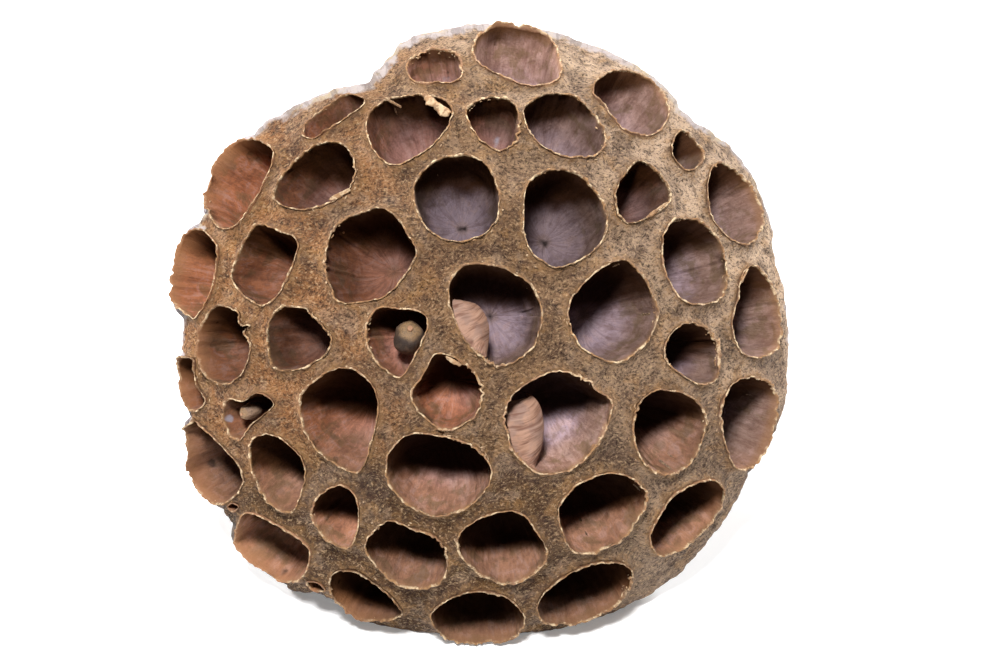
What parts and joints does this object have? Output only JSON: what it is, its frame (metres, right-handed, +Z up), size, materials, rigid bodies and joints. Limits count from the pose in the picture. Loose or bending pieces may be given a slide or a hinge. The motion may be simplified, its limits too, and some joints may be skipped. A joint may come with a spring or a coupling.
{
  "type": "dried lotus pod",
  "caption": "Dried lotus seed pod lying on its side, a domed face of open seed chambers with raised papery rims on a tapering cone",
  "frame": {"origin": "bottom centre of the part's box, on the surface that the pod lies on", "axes": "+Z up from that surface; +X runs across the face, to the right for someone who looks at it; the face looks along -Y and up, with the pod's own axis about 39 degrees above the surface"},
  "size_m": [0.1232, 0.0945, 0.0958],
  "materials": {
    "pod": "dry, fibrous and matt",
    "seed_middle": "wrinkled, dull",
    "seed_left": "wrinkled, dull"
  },
  "bodies": {
    "root": {"pod": "pod", "seed_middle": "seed_middle", "seed_left": "seed_left"}
  },
  "joints": []
}
